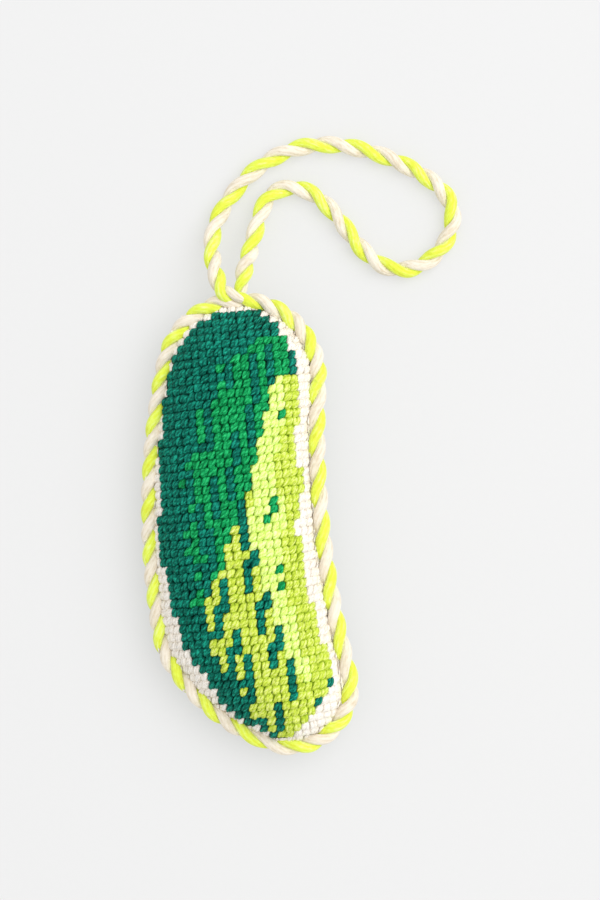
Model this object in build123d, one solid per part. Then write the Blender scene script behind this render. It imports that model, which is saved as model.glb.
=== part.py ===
from build123d import *
from math import atan2, ceil, cos, degrees, hypot, pi, radians, sin, sqrt, tan
import os

# Stuffed needlepoint ornament in the shape of a pickle, edged with a twisted cord that also makes its
# hanging loop.
# Millimetres and degrees. X runs across the front, Y up to the hanging loop, Z out of the stitched front.
# The ornament lies on its back: Z = 0 is the flat of the backing, and the origin is under the middle of
# its edge cord.

# Outline of the sewn seam: three round ends joined by three long arcs. The toe is placed from the heel
TOP_RADIUS = 16.7
HEEL_RADIUS = 17.8
TOE_RADIUS = 12.6
HEEL_ACROSS = 0.2
HEEL_DROP = 56.6
TOE_STEP = 11.4
TOE_FALL = 15.3
FLANK_RADIUS = 164.0
SOLE_RADIUS = 44.5
HOLLOW_RADIUS = 218.0

# Stuffed form: the two panels rise from the seam as one rounded curve
FRONT_RISE = 12.0
BACK_RISE = 9.5
EDGE_ANGLE = 70.0
RIDGE_SHARE = 0.14
FORM_STEPS = 8
FILLING_STEPS = 6
FLAT_DEPTH = 0.5

# Layers of the two panels and the filling between them
YARN_THICKNESS = 1.2
CANVAS_THICKNESS = 0.6
VELVET_THICKNESS = 1.3
SEAM_ALLOWANCE = 6.0
LAYER_GAP = 0.1
FILLING_GAP = 0.5

# Counted stitches: one cell is one tent stitch on a canvas of 13 threads to the inch
STITCH = 25.4 / 13
CHART_TILT = 5.5
DRAPE_RADIUS = 24.0
PATCH_GAP = 0.05
STRAIGHT = 0.01

# Sewing and hand stitches
THREAD = 0.4
WRAP_SIDES = 8
WRAP_MOUTH = 1.3
SEAM_LINE = 3.4
SEAM_STITCH = 4.0
COUCHING_PITCH = 10.7
CLOSING_SPANS = 4

# Twisted cord of the edge and of the hanging loop
CORD_DIAMETER = 4.0
CORD_SIDES = 10
CORD_GAP = 0.1
HANGER_BEARING = 96.0
HINGE_GAP = 0.5
FLOOR_GAP = 0.05
TACK_WRAPS = 3
TACK_PITCH = 0.5
BEND_SHARE = 0.45

# Cutting forms reach past what they cut
CUTTER_SPAN = 400.0
PAST_EDGE = 5.0
PAST_FACE = 1.0

# Heights that follow from the form
SEAM_HEIGHT = BACK_RISE - FLAT_DEPTH
CORD_RADIUS = CORD_DIAMETER / 2
CORD_LINE = CORD_RADIUS + CORD_GAP
PIVOT_REACH = 2 * CORD_RADIUS + HINGE_GAP
FLOOR_DROP = SEAM_HEIGHT - CORD_RADIUS - FLOOR_GAP

os.makedirs("parts", exist_ok=True)


def save(shape, name):
    """Write one named piece as a STEP file."""
    shape.label = name
    export_step(shape, f"parts/{name}.step")
    print(name, len(shape.solids()), "solids", round(shape.volume, 1), "mm3", shape.is_valid)


# Outline of the seam
def joining_centre(a, a_reach, b, b_reach, side):
    """Centre a_reach from point a and b_reach from point b, on one side of the line between them."""
    span = hypot(b[0] - a[0], b[1] - a[1])
    ux, uy = (b[0] - a[0]) / span, (b[1] - a[1]) / span
    along = (a_reach**2 - b_reach**2 + span**2) / (2 * span)
    off = side * sqrt(a_reach**2 - along**2)
    return (a[0] + along * ux - off * uy, a[1] + along * uy + off * ux)


def bearing(a, b):
    """Direction from point a to point b in degrees."""
    return degrees(atan2(b[1] - a[1], b[0] - a[0]))


def outline(inset, share=1.0):
    """Six arcs (centre, radius, start, turn) round the pickle.

    The seam's outline is moved in by inset, then drawn in to its spine by share.
    """
    top, heel, toe = TOP_CENTRE, HEEL_CENTRE, TOE_CENTRE
    top_r, heel_r, toe_r = [share * (r - inset) for r in (TOP_RADIUS, HEEL_RADIUS, TOE_RADIUS)]
    drawn = inset + (1 - share) * (TOP_RADIUS - inset)
    flank_r, sole_r, hollow_r = FLANK_RADIUS - drawn, SOLE_RADIUS - drawn, HOLLOW_RADIUS + drawn
    flank = joining_centre(top, flank_r - top_r, heel, flank_r - heel_r, 1)
    sole = joining_centre(heel, sole_r - heel_r, toe, sole_r - toe_r, 1)
    hollow = joining_centre(toe, hollow_r + toe_r, top, hollow_r + top_r, -1)
    turns = [
        (top, top_r, bearing(top, hollow), bearing(flank, top)),
        (flank, flank_r, bearing(flank, top), bearing(flank, heel)),
        (heel, heel_r, bearing(flank, heel), bearing(sole, heel)),
        (sole, sole_r, bearing(sole, heel), bearing(sole, toe)),
        (toe, toe_r, bearing(sole, toe), bearing(toe, hollow)),
    ]
    arcs = [(centre, r, start, (end - start) % 360) for centre, r, start, end in turns]
    back = (bearing(hollow, toe) - bearing(hollow, top)) % 360
    return arcs + [(hollow, hollow_r, bearing(hollow, toe), -back)]


# The edge cord's box is centred on the origin, so the three round ends are placed from it
TOP_CENTRE = (0.0, 0.0)
HEEL_CENTRE = (HEEL_ACROSS, -HEEL_DROP)
TOE_CENTRE = (HEEL_ACROSS + TOE_STEP, -HEEL_DROP - TOE_FALL)
edge_box = Wire([CenterArc(c, r, a, t) for c, r, a, t in outline(-2 * CORD_RADIUS - CORD_GAP)]).bounding_box()
SHIFT = (-edge_box.center().X, -edge_box.center().Y)
unplaced = (TOP_CENTRE, HEEL_CENTRE, TOE_CENTRE)
TOP_CENTRE, HEEL_CENTRE, TOE_CENTRE = [(x + SHIFT[0], y + SHIFT[1]) for x, y in unplaced]


def outline_wire(inset, height, share=1.0):
    """The outline as a closed wire at one height."""
    return Wire([CenterArc((c[0], c[1], height), r, a, t) for c, r, a, t in outline(inset, share)])


def station(arcs, distance):
    """Plane across the outline at a distance along it: its x points out of the pickle and its y up."""
    for centre, r, start, turn in arcs:
        length = r * radians(abs(turn))
        if distance <= length:
            break
        distance -= length
    angle = radians(start) + distance / r * (1 if turn > 0 else -1)
    out = (cos(angle), sin(angle)) if turn > 0 else (-cos(angle), -sin(angle))
    point = (centre[0] + r * cos(angle), centre[1] + r * sin(angle), SEAM_HEIGHT)
    return Plane(origin=point, x_dir=(out[0], out[1], 0), z_dir=(out[1], -out[0], 0))


def length_of(arcs):
    return sum(r * radians(abs(turn)) for centre, r, start, turn in arcs)


def ring(arcs, section):
    """Solid of a section, drawn on the station plane, carried round the closed outline."""
    solid = None
    for centre, r, start, turn in arcs:
        face = station([(centre, r, start, turn)], 0) * section
        axis = Axis((centre[0], centre[1], 0), (0, 0, 1 if turn > 0 else -1))
        span = revolve(face, axis=axis, revolution_arc=abs(turn))
        solid = span if solid is None else solid + span
    return solid


# Stuffed form: outlines drawn in towards the spine as they rise
def dome(inset, rise, steps):
    """Rounded panel form on the seam plane in plain bands, moved in by inset, with its crown at rise."""
    edge_sin, edge_cos = sin(radians(EDGE_ANGLE)), cos(radians(EDGE_ANGLE))
    crown = sqrt(1 - (edge_sin * RIDGE_SHARE) ** 2) - edge_cos
    wires = []
    for step in range(steps):
        share = 1 - (1 - RIDGE_SHARE) * sin(pi / 2 * step / (steps - 1))
        height = rise * (sqrt(1 - (edge_sin * share) ** 2) - edge_cos) / crown
        wires.append(outline_wire(inset, height, share))
    return Solid.make_loft(wires, ruled=True)


def front(inset, steps=FORM_STEPS):
    return Pos(0, 0, SEAM_HEIGHT + LAYER_GAP / 2) * dome(inset, FRONT_RISE - inset, steps)


def back(inset, steps=FORM_STEPS):
    form = mirror(dome(inset, BACK_RISE - inset, steps), Plane.XZ)
    return Pos(0, 0, SEAM_HEIGHT - LAYER_GAP / 2) * Rot(180, 0, 0) * form


def slab(outer_inset, inner_inset, low, high):
    """Flat ring between two insets of the seam outline."""
    flat = make_face(outline_wire(outer_inset, low)) - make_face(outline_wire(inner_inset, low))
    return extrude(flat, high - low, dir=(0, 0, 1))


# Canvas: the stiff mesh that carries the stitches, with its raw edge turned in at the seam
canvas_inset = YARN_THICKNESS + LAYER_GAP
canvas_inner = canvas_inset + CANVAS_THICKNESS
fold_end = canvas_inset + SEAM_ALLOWANCE
front_low = SEAM_HEIGHT + LAYER_GAP / 2
front_fold = slab(canvas_inset + CANVAS_THICKNESS / 2, fold_end, front_low, front_low + CANVAS_THICKNESS)
canvas_ground = front(canvas_inset) - front(canvas_inner) + front_fold
save(canvas_ground, "canvas_ground")

# Backing: plain velvet panel, pressed flat where the ornament lies
velvet_inner = VELVET_THICKNESS
back_high = SEAM_HEIGHT - LAYER_GAP / 2
back_fold = slab(VELVET_THICKNESS / 2, SEAM_ALLOWANCE, back_high - VELVET_THICKNESS, back_high)
velvet_back = back(0) - back(velvet_inner) + back_fold
table = Pos(0, 0, -BACK_RISE) * Box(CUTTER_SPAN, CUTTER_SPAN, 2 * BACK_RISE)
velvet_back -= table
save(velvet_back, "velvet_back")

# Filling: loose fibre that fills both panels and the opening between the turned edges
thread_room = FILLING_GAP + THREAD
front_top = front_low + CANVAS_THICKNESS + thread_room
back_bottom = back_high - VELVET_THICKNESS - thread_room
front_room = slab(-PAST_EDGE, fold_end + FILLING_GAP, front_low - LAYER_GAP, front_top)
back_room = slab(-PAST_EDGE, SEAM_ALLOWANCE + FILLING_GAP, back_bottom, back_high + LAYER_GAP)
opening = make_face(outline_wire(fold_end + FILLING_GAP, SEAM_HEIGHT - PAST_FACE))
middle = extrude(opening, 2 * PAST_FACE, dir=(0, 0, 1))
pressed_low = FILLING_GAP + VELVET_THICKNESS - BACK_RISE
pressed = Pos(0, 0, pressed_low) * Box(CUTTER_SPAN, CUTTER_SPAN, 2 * BACK_RISE)
front_fill = front(canvas_inner + FILLING_GAP, FILLING_STEPS)
back_fill = back(velvet_inner + FILLING_GAP, FILLING_STEPS)
fibre_filling = front_fill + back_fill + middle
fibre_filling = fibre_filling - front_room - back_room - pressed
save(fibre_filling, "fibre_filling")

# Counted chart: which yarn works each stitch, from lines of (height, across) from the top end's centre.
# The lines are drawn for a toe that lies CHART_DROP below the top end, and stretch with its real drop.
CHART_DROP = 71.9
CHART_RIDGE = [(40, 0), (0, 0), (-12, -1), (-28, -1.5), (-45, -0.7), (-57, 1.5), (-72, 7.5), (-130, 25)]
FIGURE_LEFT = [
    (16, -1), (13, -9.5), (6, -15), (-7, -18), (-24, -19), (-43, -18), (-61, -13.5), (-78, -2), (-83, 7),
]
FIGURE_RIGHT = [
    (16, 4.5), (12, 9), (5, 13), (-2, 14.5), (-15, 13),
    (-24, 15), (-34, 13.5), (-52, 17), (-70, 22.5), (-83, 12),
]
SHADOW_EDGE = [
    (16, 20), (10, 20), (9, 5), (3, -3), (-7, -7.5), (-24, -12.5), (-43, -10.5), (-61, -6.5), (-83, 8),
]
MIDDLE_EDGE = [
    (16, 20), (1, 20), (0, 9), (-7, 6.5), (-23, 3.5), (-34, -1), (-43, -3.5), (-54, -10), (-83, -10),
]
LIGHT_LEFT = [(0, 8.5), (-7, 6.5), (-22, 3.5), (-34, 2.5), (-43, 4.5), (-61, 10.5), (-70, 15)]
LIGHT_RIGHT = [(0, 11), (-6, 11.5), (-21, 8), (-29, 10.5), (-46, 10.5), (-61, 14.5), (-70, 17)]
RAGGED = 1.1
RAGGED_WAVES = (2.3, 0.9)
DASH_LANES = 6
LANE_STEP = 2.5
LANE_DASHES = 9
DASH_STEP = 3.5
DASH_SPREAD = 0.2
DASH_LENGTH = 1.4
DASH_GROWTH = 6
FLECK_ROWS = 9
FLECK_RUN = 4
CHART_SPAN = 80.0
REACH = ceil(CHART_SPAN / STITCH)


def chart_height(y):
    """Height on the chart's lines of a place on the front."""
    return CHART_DROP * (y - TOP_CENTRE[1]) / (HEEL_DROP + TOE_FALL)


def read_line(line, height):
    """Across position of a boundary line at one height, or None past its ends."""
    for (high, a), (low, b) in zip(line, line[1:]):
        if high >= height >= low:
            return a + (b - a) * (high - height) / (high - low)
    return None


def cell_point(column, row):
    """Grid corner of the chart: turned with the canvas, then drawn in where the rounded front falls away."""
    tilt = radians(CHART_TILT)
    x = STITCH * (column * cos(tilt) - row * sin(tilt))
    y = STITCH * (column * sin(tilt) + row * cos(tilt))
    level = min(max(y, TOE_CENTRE[1]), TOP_CENTRE[1])
    y = level + DRAPE_RADIUS * sin((y - level) / DRAPE_RADIUS)
    ridge = TOP_CENTRE[0] + read_line(CHART_RIDGE, chart_height(y))
    side = max(min((x - ridge) / DRAPE_RADIUS, pi / 2), -pi / 2)
    return (ridge + DRAPE_RADIUS * sin(side), y)


def shade_of(column, row):
    """Name of the yarn that shades one cell, or None for the background."""
    x, y = cell_point(column + 0.5, row + 0.5)
    across, height = x - TOP_CENTRE[0], chart_height(y)
    left, right = read_line(FIGURE_LEFT, height), read_line(FIGURE_RIGHT, height)
    if left is None or not left < across < right:
        return None
    ragged = RAGGED * sum(sin(wave * row) for wave in RAGGED_WAVES)
    if across < read_line(SHADOW_EDGE, height) + ragged:
        return "dark_teal"
    light, light_end = read_line(LIGHT_LEFT, height), read_line(LIGHT_RIGHT, height)
    if light is not None and light < across < light_end:
        return "lime"
    return "mid_green" if across < read_line(MIDDLE_EDGE, height) else "chartreuse"


columns = range(-REACH, REACH)
chart = {(i, j): shade_of(i, j) for i in columns for j in columns}
shadow_end = {j: max((i for i in columns if chart[i, j] == "dark_teal"), default=None) for j in columns}
light_start = {j: min((i for i in columns if chart[i, j] == "lime"), default=None) for j in columns}
shaded = [j for j in columns if shadow_end[j] is not None]

# Dark dashes run down the canvas in lanes beside the shadow, longer and further apart up the pickle
for lane in range(DASH_LANES):
    for dash in range(LANE_DASHES):
        start = shaded[0] + 1 - 2 * lane % 4 + round(DASH_STEP * dash + DASH_SPREAD * dash**2)
        up = (start - shaded[0]) / (shaded[-1] - shaded[0])
        length = round(DASH_LENGTH + DASH_GROWTH * min(up, 0.5)) + (dash + lane) % 2 + dash % 3 // 2
        middle = start + length // 2
        if shadow_end.get(middle) is None:
            continue
        column = shadow_end[middle] + 2 + int(LANE_STEP * lane)
        for row in range(start, start + length):
            beyond = light_start.get(row) is not None and column >= light_start[row]
            if chart.get((column, row)) in ("mid_green", "chartreuse") and not beyond:
                chart[column, row] = "dark_teal"

# Green flecks zigzag in the highlight
for row in shaded:
    if light_start[row] is not None and row % FLECK_ROWS < FLECK_RUN:
        cell = (light_start[row] + 2 + row % 2, row)
        chart[cell] = "mid_green" if chart[cell] == "lime" else chart[cell]


def islands(cells):
    """Groups of cells that join edge to edge."""
    left = set(cells)
    while left:
        group, edge = set(), [left.pop()]
        while edge:
            i, j = edge.pop()
            group.add((i, j))
            near = {(i + 1, j), (i - 1, j), (i, j + 1), (i, j - 1)} & left
            left -= near
            edge += near
        yield group


def stepped_face(cells, gap):
    """Face with counted, stepped edges round one island, drawn in by gap, with holes for other yarns."""
    steps = {}
    for i, j in cells:
        corners = [(i, j), (i + 1, j), (i + 1, j + 1), (i, j + 1)]
        beside = [(i, j - 1), (i + 1, j), (i, j + 1), (i - 1, j)]
        for k in range(4):
            if beside[k] not in cells:
                steps.setdefault(corners[k], []).append(corners[(k + 1) % 4])
    outer, holes = None, []
    while steps:
        path = [next(here for here in steps if len(steps[here]) == 1)]
        came = None
        while path[-1] in steps:
            here = path[-1]
            ways = steps[here]
            turned = [w for w in ways if came and (w[0] - here[0], w[1] - here[1]) == (-came[1], came[0])]
            goto = turned[0] if turned else ways[0]
            ways.remove(goto)
            if not ways:
                del steps[here]
            came = (goto[0] - here[0], goto[1] - here[1])
            path.append(goto)
            if goto == path[0]:
                break
        path.pop()
        points, area = [], 0
        for k, here in enumerate(path):
            before, after = path[k - 1], path[(k + 1) % len(path)]
            area += here[0] * after[1] - here[1] * after[0]
            come, go = (here[0] - before[0], here[1] - before[1]), (after[0] - here[0], after[1] - here[1])
            inward = (-come[1] - go[1], come[0] + go[0]) if come != go else (-come[1], come[0])
            a, b, c = cell_point(*before), cell_point(*here), cell_point(*after)
            bent = abs((a[0] + c[0]) / 2 - b[0]) + abs((a[1] + c[1]) / 2 - b[1])
            if come != go or bent > STRAIGHT:
                moved = (here[0] + gap / STITCH * inward[0], here[1] + gap / STITCH * inward[1])
                points.append(cell_point(*moved))
        loop = Wire(Polyline(*points, close=True))
        if area > 0:
            outer = loop
        else:
            holes.append(loop)
    return Face(outer, holes)


# Yarn: the stitched layer over the canvas, one piece for each colour, divided along the counted stitches
yarn_layer = front(0) - front(YARN_THICKNESS)
cut_height = FRONT_RISE + 2 * PAST_FACE
figure = {cell for cell, yarn in chart.items() if yarn}
for yarn in ("dark_teal", "mid_green", "lime", "chartreuse"):
    patches = []
    for group in islands({cell for cell in figure if chart[cell] == yarn}):
        face = Pos(0, 0, SEAM_HEIGHT - PAST_FACE) * stepped_face(group, PATCH_GAP)
        patches += (extrude(face, cut_height, dir=(0, 0, 1)) & yarn_layer).solids()
    save(Compound(patches), f"{yarn}_yarn")
cut = [Pos(0, 0, SEAM_HEIGHT - PAST_FACE) * stepped_face(group, -PATCH_GAP) for group in islands(figure)]
cream_yarn = yarn_layer - [extrude(face, cut_height, dir=(0, 0, 1)) for face in cut]
save(cream_yarn, "cream_yarn")

# Machine seam: each stitch goes through both turned edges and lies along them, above and below
seam_arcs = outline(SEAM_LINE)
seam_length = length_of(seam_arcs)
stitch_count = round(seam_length / SEAM_STITCH)
stitch_length = seam_length / stitch_count - 2 * THREAD
above = CANVAS_THICKNESS + LAYER_GAP / 2
below = VELVET_THICKNESS + LAYER_GAP / 2
loop = Pos(0, (above - below) / 2) * Rectangle(stitch_length, above + below + 2 * THREAD)
loop -= Pos(THREAD, (above - below) / 2) * Rectangle(stitch_length, above + below)
stitch = Rot(0, 90, 0) * extrude(loop, THREAD / 2, both=True)
seam_thread = []
for k in range(stitch_count):
    seam_thread += (station(seam_arcs, seam_length * k / stitch_count).location * stitch).solids()
save(Compound(seam_thread), "seam_thread")

# Edge cord: laid all round the outside of the seam
cord_arcs = outline(-CORD_LINE)
cord_length = length_of(cord_arcs)
cord_section = RegularPolygon(CORD_RADIUS, CORD_SIDES)
edge_cord = ring(cord_arcs, cord_section)
save(edge_cord, "edge_cord")
laid = edge_cord.volume / (cord_section.area * cord_length)
print("edge cord length", round(cord_length, 1), "volume ratio", round(laid, 4))

# Couching: a thread over the cord at every turn of its twist, open towards the seam where it enters the cloth
wrap_inside = CORD_RADIUS + LAYER_GAP / 2
half_side = 180 / WRAP_SIDES
hold = RegularPolygon(wrap_inside + THREAD, WRAP_SIDES, major_radius=False, rotation=half_side)
hold -= RegularPolygon(wrap_inside, WRAP_SIDES, major_radius=False, rotation=half_side)
hold -= Pos(-CORD_DIAMETER, 0) * Rectangle(2 * CORD_DIAMETER, WRAP_MOUTH * CORD_RADIUS)
wrap = extrude(hold, THREAD / 2, both=True)
top_arc = cord_arcs[0]
hanger_at = top_arc[1] * radians((HANGER_BEARING - top_arc[2]) % 360)
couch_count = round(cord_length / COUCHING_PITCH)
couching = []
for k in range(couch_count):
    distance = (hanger_at + cord_length * (k + 0.5) / couch_count) % cord_length
    couching += (station(cord_arcs, distance).location * wrap).solids()
save(Compound(couching), "couching_thread")

# Tack: close wraps between the two roots of the loop that fix them to the edge cord
tack = []
for k in range(TACK_WRAPS):
    distance = hanger_at + TACK_PITCH * (k - (TACK_WRAPS - 1) / 2)
    tack += (station(cord_arcs, distance).location * wrap).solids()
save(Compound(tack), "hanger_tack")

# Closing stitches: hand sewing from the backing to the cord along the sole, two between each pair of
# couching threads
sole_at = sum(r * radians(abs(turn)) for centre, r, start, turn in cord_arcs[:3])
sole_middle = sole_at + cord_arcs[3][1] * radians(cord_arcs[3][3]) / 2
first = round((sole_middle - hanger_at) / cord_length * couch_count - CLOSING_SPANS / 2) + 0.5
under = CORD_RADIUS + THREAD / 2 + LAYER_GAP
inward = CORD_LINE + under / tan(radians(EDGE_ANGLE)) - LAYER_GAP
bar = Pos(-inward / 2, -under, 0) * Box(inward, THREAD, THREAD)
closing = []
for k in range(2 * CLOSING_SPANS):
    turns_along = first + k // 2 + (k % 2 + 1) / 3
    distance = (hanger_at + cord_length * turns_along / couch_count) % cord_length
    closing += (station(cord_arcs, distance).location * bar).solids()
save(Compound(closing), "closing_thread")

# Hanging loop: both ends turn on a line just outside the edge cord. Points are (across, out, rise) from
# its middle.
HANGER_POINTS = [
    (-2.6, 0, 0), (-3.4, 4.5, -1.5), (-3.2, 10.5, -4.5), (0.3, 17.5, -FLOOR_DROP), (7.5, 24.8, -FLOOR_DROP),
    (17, 29.3, -FLOOR_DROP), (27.3, 29.6, -FLOOR_DROP), (37.5, 26.2, -FLOOR_DROP), (45, 22, -FLOOR_DROP),
    (52, 16.5, -FLOOR_DROP), (54.5, 10, -FLOOR_DROP), (51.4, 2.6, -FLOOR_DROP), (44.6, -2.1, -FLOOR_DROP),
    (36.9, -1.5, -FLOOR_DROP), (31.2, 4.2, -FLOOR_DROP), (26.7, 12.6, -FLOOR_DROP), (21.5, 18.7, -FLOOR_DROP),
    (15.8, 20.6, -FLOOR_DROP), (10.7, 18.6, -0.95 * FLOOR_DROP), (8, 12.5, -4.9),
    (5.4, 5.5, -1.9), (3.2, 0, 0),
]
# Each root is rounded inside the ball that it turns in: (distance out, radius), both in cord radii
ROOT_CAP = [(-0.25, 0.9), (0.5, 0.86), (0.96, 0.28)]
out = (cos(radians(HANGER_BEARING)), sin(radians(HANGER_BEARING)))
reach_out = TOP_RADIUS + CORD_LINE + PIVOT_REACH
pivot = (TOP_CENTRE[0] + reach_out * out[0], TOP_CENTRE[1] + reach_out * out[1])
route = [
    Vector(pivot[0] + a * out[1] + b * out[0], pivot[1] - a * out[0] + b * out[1], SEAM_HEIGHT + c)
    for a, b, c in HANGER_POINTS
]
radii = []
for before, here, after in zip(route, route[1:], route[2:]):
    turn = radians((here - before).get_angle(after - here))
    radii.append(BEND_SHARE * min((here - before).length, (after - here).length) / tan(turn / 2))
hanger_path = FilletPolyline(*route, radius=radii)
hanger_loop = sweep(Plane(origin=route[0], z_dir=route[1] - route[0]) * cord_section, path=hanger_path)
swept = hanger_loop.volume / (cord_section.area * hanger_path.length)
for root, beyond in ((route[0], route[1]), (route[-1], route[-2])):
    seat = Plane(origin=root, z_dir=root - beyond)
    cap = [seat.offset(d * CORD_RADIUS) * RegularPolygon(r * CORD_RADIUS, CORD_SIDES) for d, r in ROOT_CAP]
    hanger_loop += loft(cap, ruled=True)
save(hanger_loop, "hanger_loop")
print("hanger radii", [round(r, 1) for r in radii])
print("hanger length", round(hanger_path.length, 1), "volume ratio", round(swept, 4))
hinge_axis = [round(v, 4) for v in (out[1], -out[0])]
print("hanger pivot", [round(v, 3) for v in (*pivot, SEAM_HEIGHT)], "axis", hinge_axis)
print("seam length", round(length_of(outline(0)), 1), "shift", [round(v, 3) for v in SHIFT])
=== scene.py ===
import bpy
import numpy as np
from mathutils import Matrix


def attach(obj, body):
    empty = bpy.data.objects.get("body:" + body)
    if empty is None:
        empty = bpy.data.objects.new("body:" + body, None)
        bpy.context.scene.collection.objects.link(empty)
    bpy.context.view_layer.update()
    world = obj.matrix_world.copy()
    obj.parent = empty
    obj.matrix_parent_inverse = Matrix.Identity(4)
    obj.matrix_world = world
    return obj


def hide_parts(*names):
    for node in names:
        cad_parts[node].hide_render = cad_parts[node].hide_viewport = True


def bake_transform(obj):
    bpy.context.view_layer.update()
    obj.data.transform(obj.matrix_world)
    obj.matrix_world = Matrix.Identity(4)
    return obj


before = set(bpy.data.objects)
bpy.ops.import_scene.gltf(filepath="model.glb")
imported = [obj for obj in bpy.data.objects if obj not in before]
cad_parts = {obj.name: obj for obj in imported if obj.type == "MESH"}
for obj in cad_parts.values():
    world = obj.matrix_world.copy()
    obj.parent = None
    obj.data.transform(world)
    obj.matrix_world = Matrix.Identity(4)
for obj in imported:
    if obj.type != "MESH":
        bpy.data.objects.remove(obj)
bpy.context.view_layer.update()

# Stuffed needlepoint ornament in the shape of a pickle. Lengths are millimetres until a mesh is made.
# X runs across the front, Y up to the hanging loop, Z out of the front from the flat of the backing.

# Canvas
# The stiff open mesh of cotton threads that carries the stitches, cut to the pickle's shape with its raw edge
# turned in at the seam. Only its weave would show, in the holes between stitches.
STITCH = 25.4 / 13
TILT = np.radians(5.5)
# Scale of a wave texture with one band to the metre
ONE_BAND = 2 * np.pi / 20


def linear(hex_colour):
    """sRGB hex to linear RGBA: a channel v above 0.04 becomes ((v + 0.055) / 1.055) to the 2.4."""
    v = np.array([int(hex_colour[i:i + 2], 16) for i in (1, 3, 5)]) / 255
    rgb = np.where(v <= 0.04045, v / 12.92, ((v + 0.055) / 1.055) ** 2.4)
    return (*rgb.tolist(), 1.0)


def add(tree, kind, sockets, **settings):
    """Add one shader node; each named socket takes a value, or a link from another node's socket."""
    made = tree.nodes.new("ShaderNode" + kind)
    for name, value in settings.items():
        setattr(made, name, value)
    for name, value in sockets.items():
        if isinstance(value, bpy.types.NodeSocket):
            tree.links.new(value, made.inputs[name])
        else:
            made.inputs[name].default_value = value
    return made


def blank_finish(name):
    """Empty node material and its tree."""
    made = bpy.data.materials.new(name)
    made.use_nodes = True
    made.node_tree.nodes.clear()
    return made, made.node_tree


def tinted(tree, factor, low, high):
    """Colour from low to high by a factor; each end is a hex colour or another node's socket."""
    ends = [linear(end) if isinstance(end, str) else end for end in (low, high)]
    return add(tree, "Mix", {0: factor, 6: ends[0], 7: ends[1]}, data_type="RGBA").outputs[2]


def surface(tree, sockets):
    """Principled surface joined to the material's output."""
    made = add(tree, "BsdfPrincipled", sockets)
    add(tree, "OutputMaterial", {"Surface": made.outputs[0]})


def dress(node, finish):
    """Give a CAD piece one finish in place of its own."""
    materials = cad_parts[node].data.materials
    materials.clear()
    materials.append(finish)


# Starched cotton mono canvas: matt off-white threads, one each way for every stitch, with painted shade for
# the square holes between them
cotton_canvas, tree = blank_finish("cotton_canvas")
place = add(tree, "TexCoord", {}).outputs["Object"]
turned = add(tree, "Mapping", {"Vector": place, "Rotation": (0, 0, TILT)}, vector_type="TEXTURE").outputs[0]
bands = {"Vector": turned, "Scale": ONE_BAND / (STITCH * 0.001), "Distortion": 0.0}
threads = [add(tree, "TexWave", bands, bands_direction=way).outputs["Fac"] for way in ("X", "Y")]
weave = add(tree, "Math", {0: threads[0], 1: threads[1]}, operation="MAXIMUM").outputs[0]
fibre = add(tree, "TexNoise", {"Vector": place, "Scale": 4000.0, "Detail": 3.0}).outputs["Fac"]
woven = add(tree, "Math", {0: fibre, 1: 0.3, 2: weave}, operation="MULTIPLY_ADD").outputs[0]
# The holes between threads are painted darker: painted shade
tint = tinted(tree, weave, "#8d8878", "#e0dacb")
bump = add(tree, "Bump", {"Height": woven, "Strength": 0.8, "Distance": 0.0003}).outputs[0]
surface(tree, {"Base Color": tint, "Normal": bump, "Roughness": 0.9, "IOR": 1.5})
dress("canvas_ground", cotton_canvas)

# Stitched front
# Tent stitches of stranded wool, each laid slantwise over one crossing of the canvas from hole to hole,
# counted row by row in five colours. The stuffing rounds the front, so the rows draw in towards its edge.
TOP, HEEL, TOE = np.array((-2.139, 33.9)), np.array((-1.939, -22.7)), np.array((9.461, -38.0))
TOP_R, HEEL_R, TOE_R = 16.7, 17.8, 12.6
FLANK_R, SOLE_R, HOLLOW_R = 164.0, 44.5, 218.0
SEAM_HEIGHT = 9.0
FRONT_RISE = 12.0
EDGE_ANGLE = np.radians(70)
RIDGE_SHARE = 0.14
DRAPE_RADIUS = 24.0
# A place's share of the way out to the seam is found in steps of its depth over a usual half width
SHARE_STEPS = 14
USUAL_HALF_WIDTH = 17.5
UNPLACED_DEPTH = 2.0
FURTHEST_SHARE = 1.15


def unit(v):
    """Vectors over their own length."""
    return v / np.linalg.norm(v, axis=-1, keepdims=True)


def joining_centre(a, a_reach, b, b_reach, side):
    """Centres a_reach from point a and b_reach from point b: along the line a to b, then square off it."""
    span = np.hypot(*(b - a))
    ux, uy = (b - a) / span
    along = (a_reach**2 - b_reach**2 + span**2) / (2 * span)
    off = side * np.sqrt(a_reach**2 - along**2)
    return np.stack([a[0] + along * ux - off * uy, a[1] + along * uy + off * ux], -1)


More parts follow.
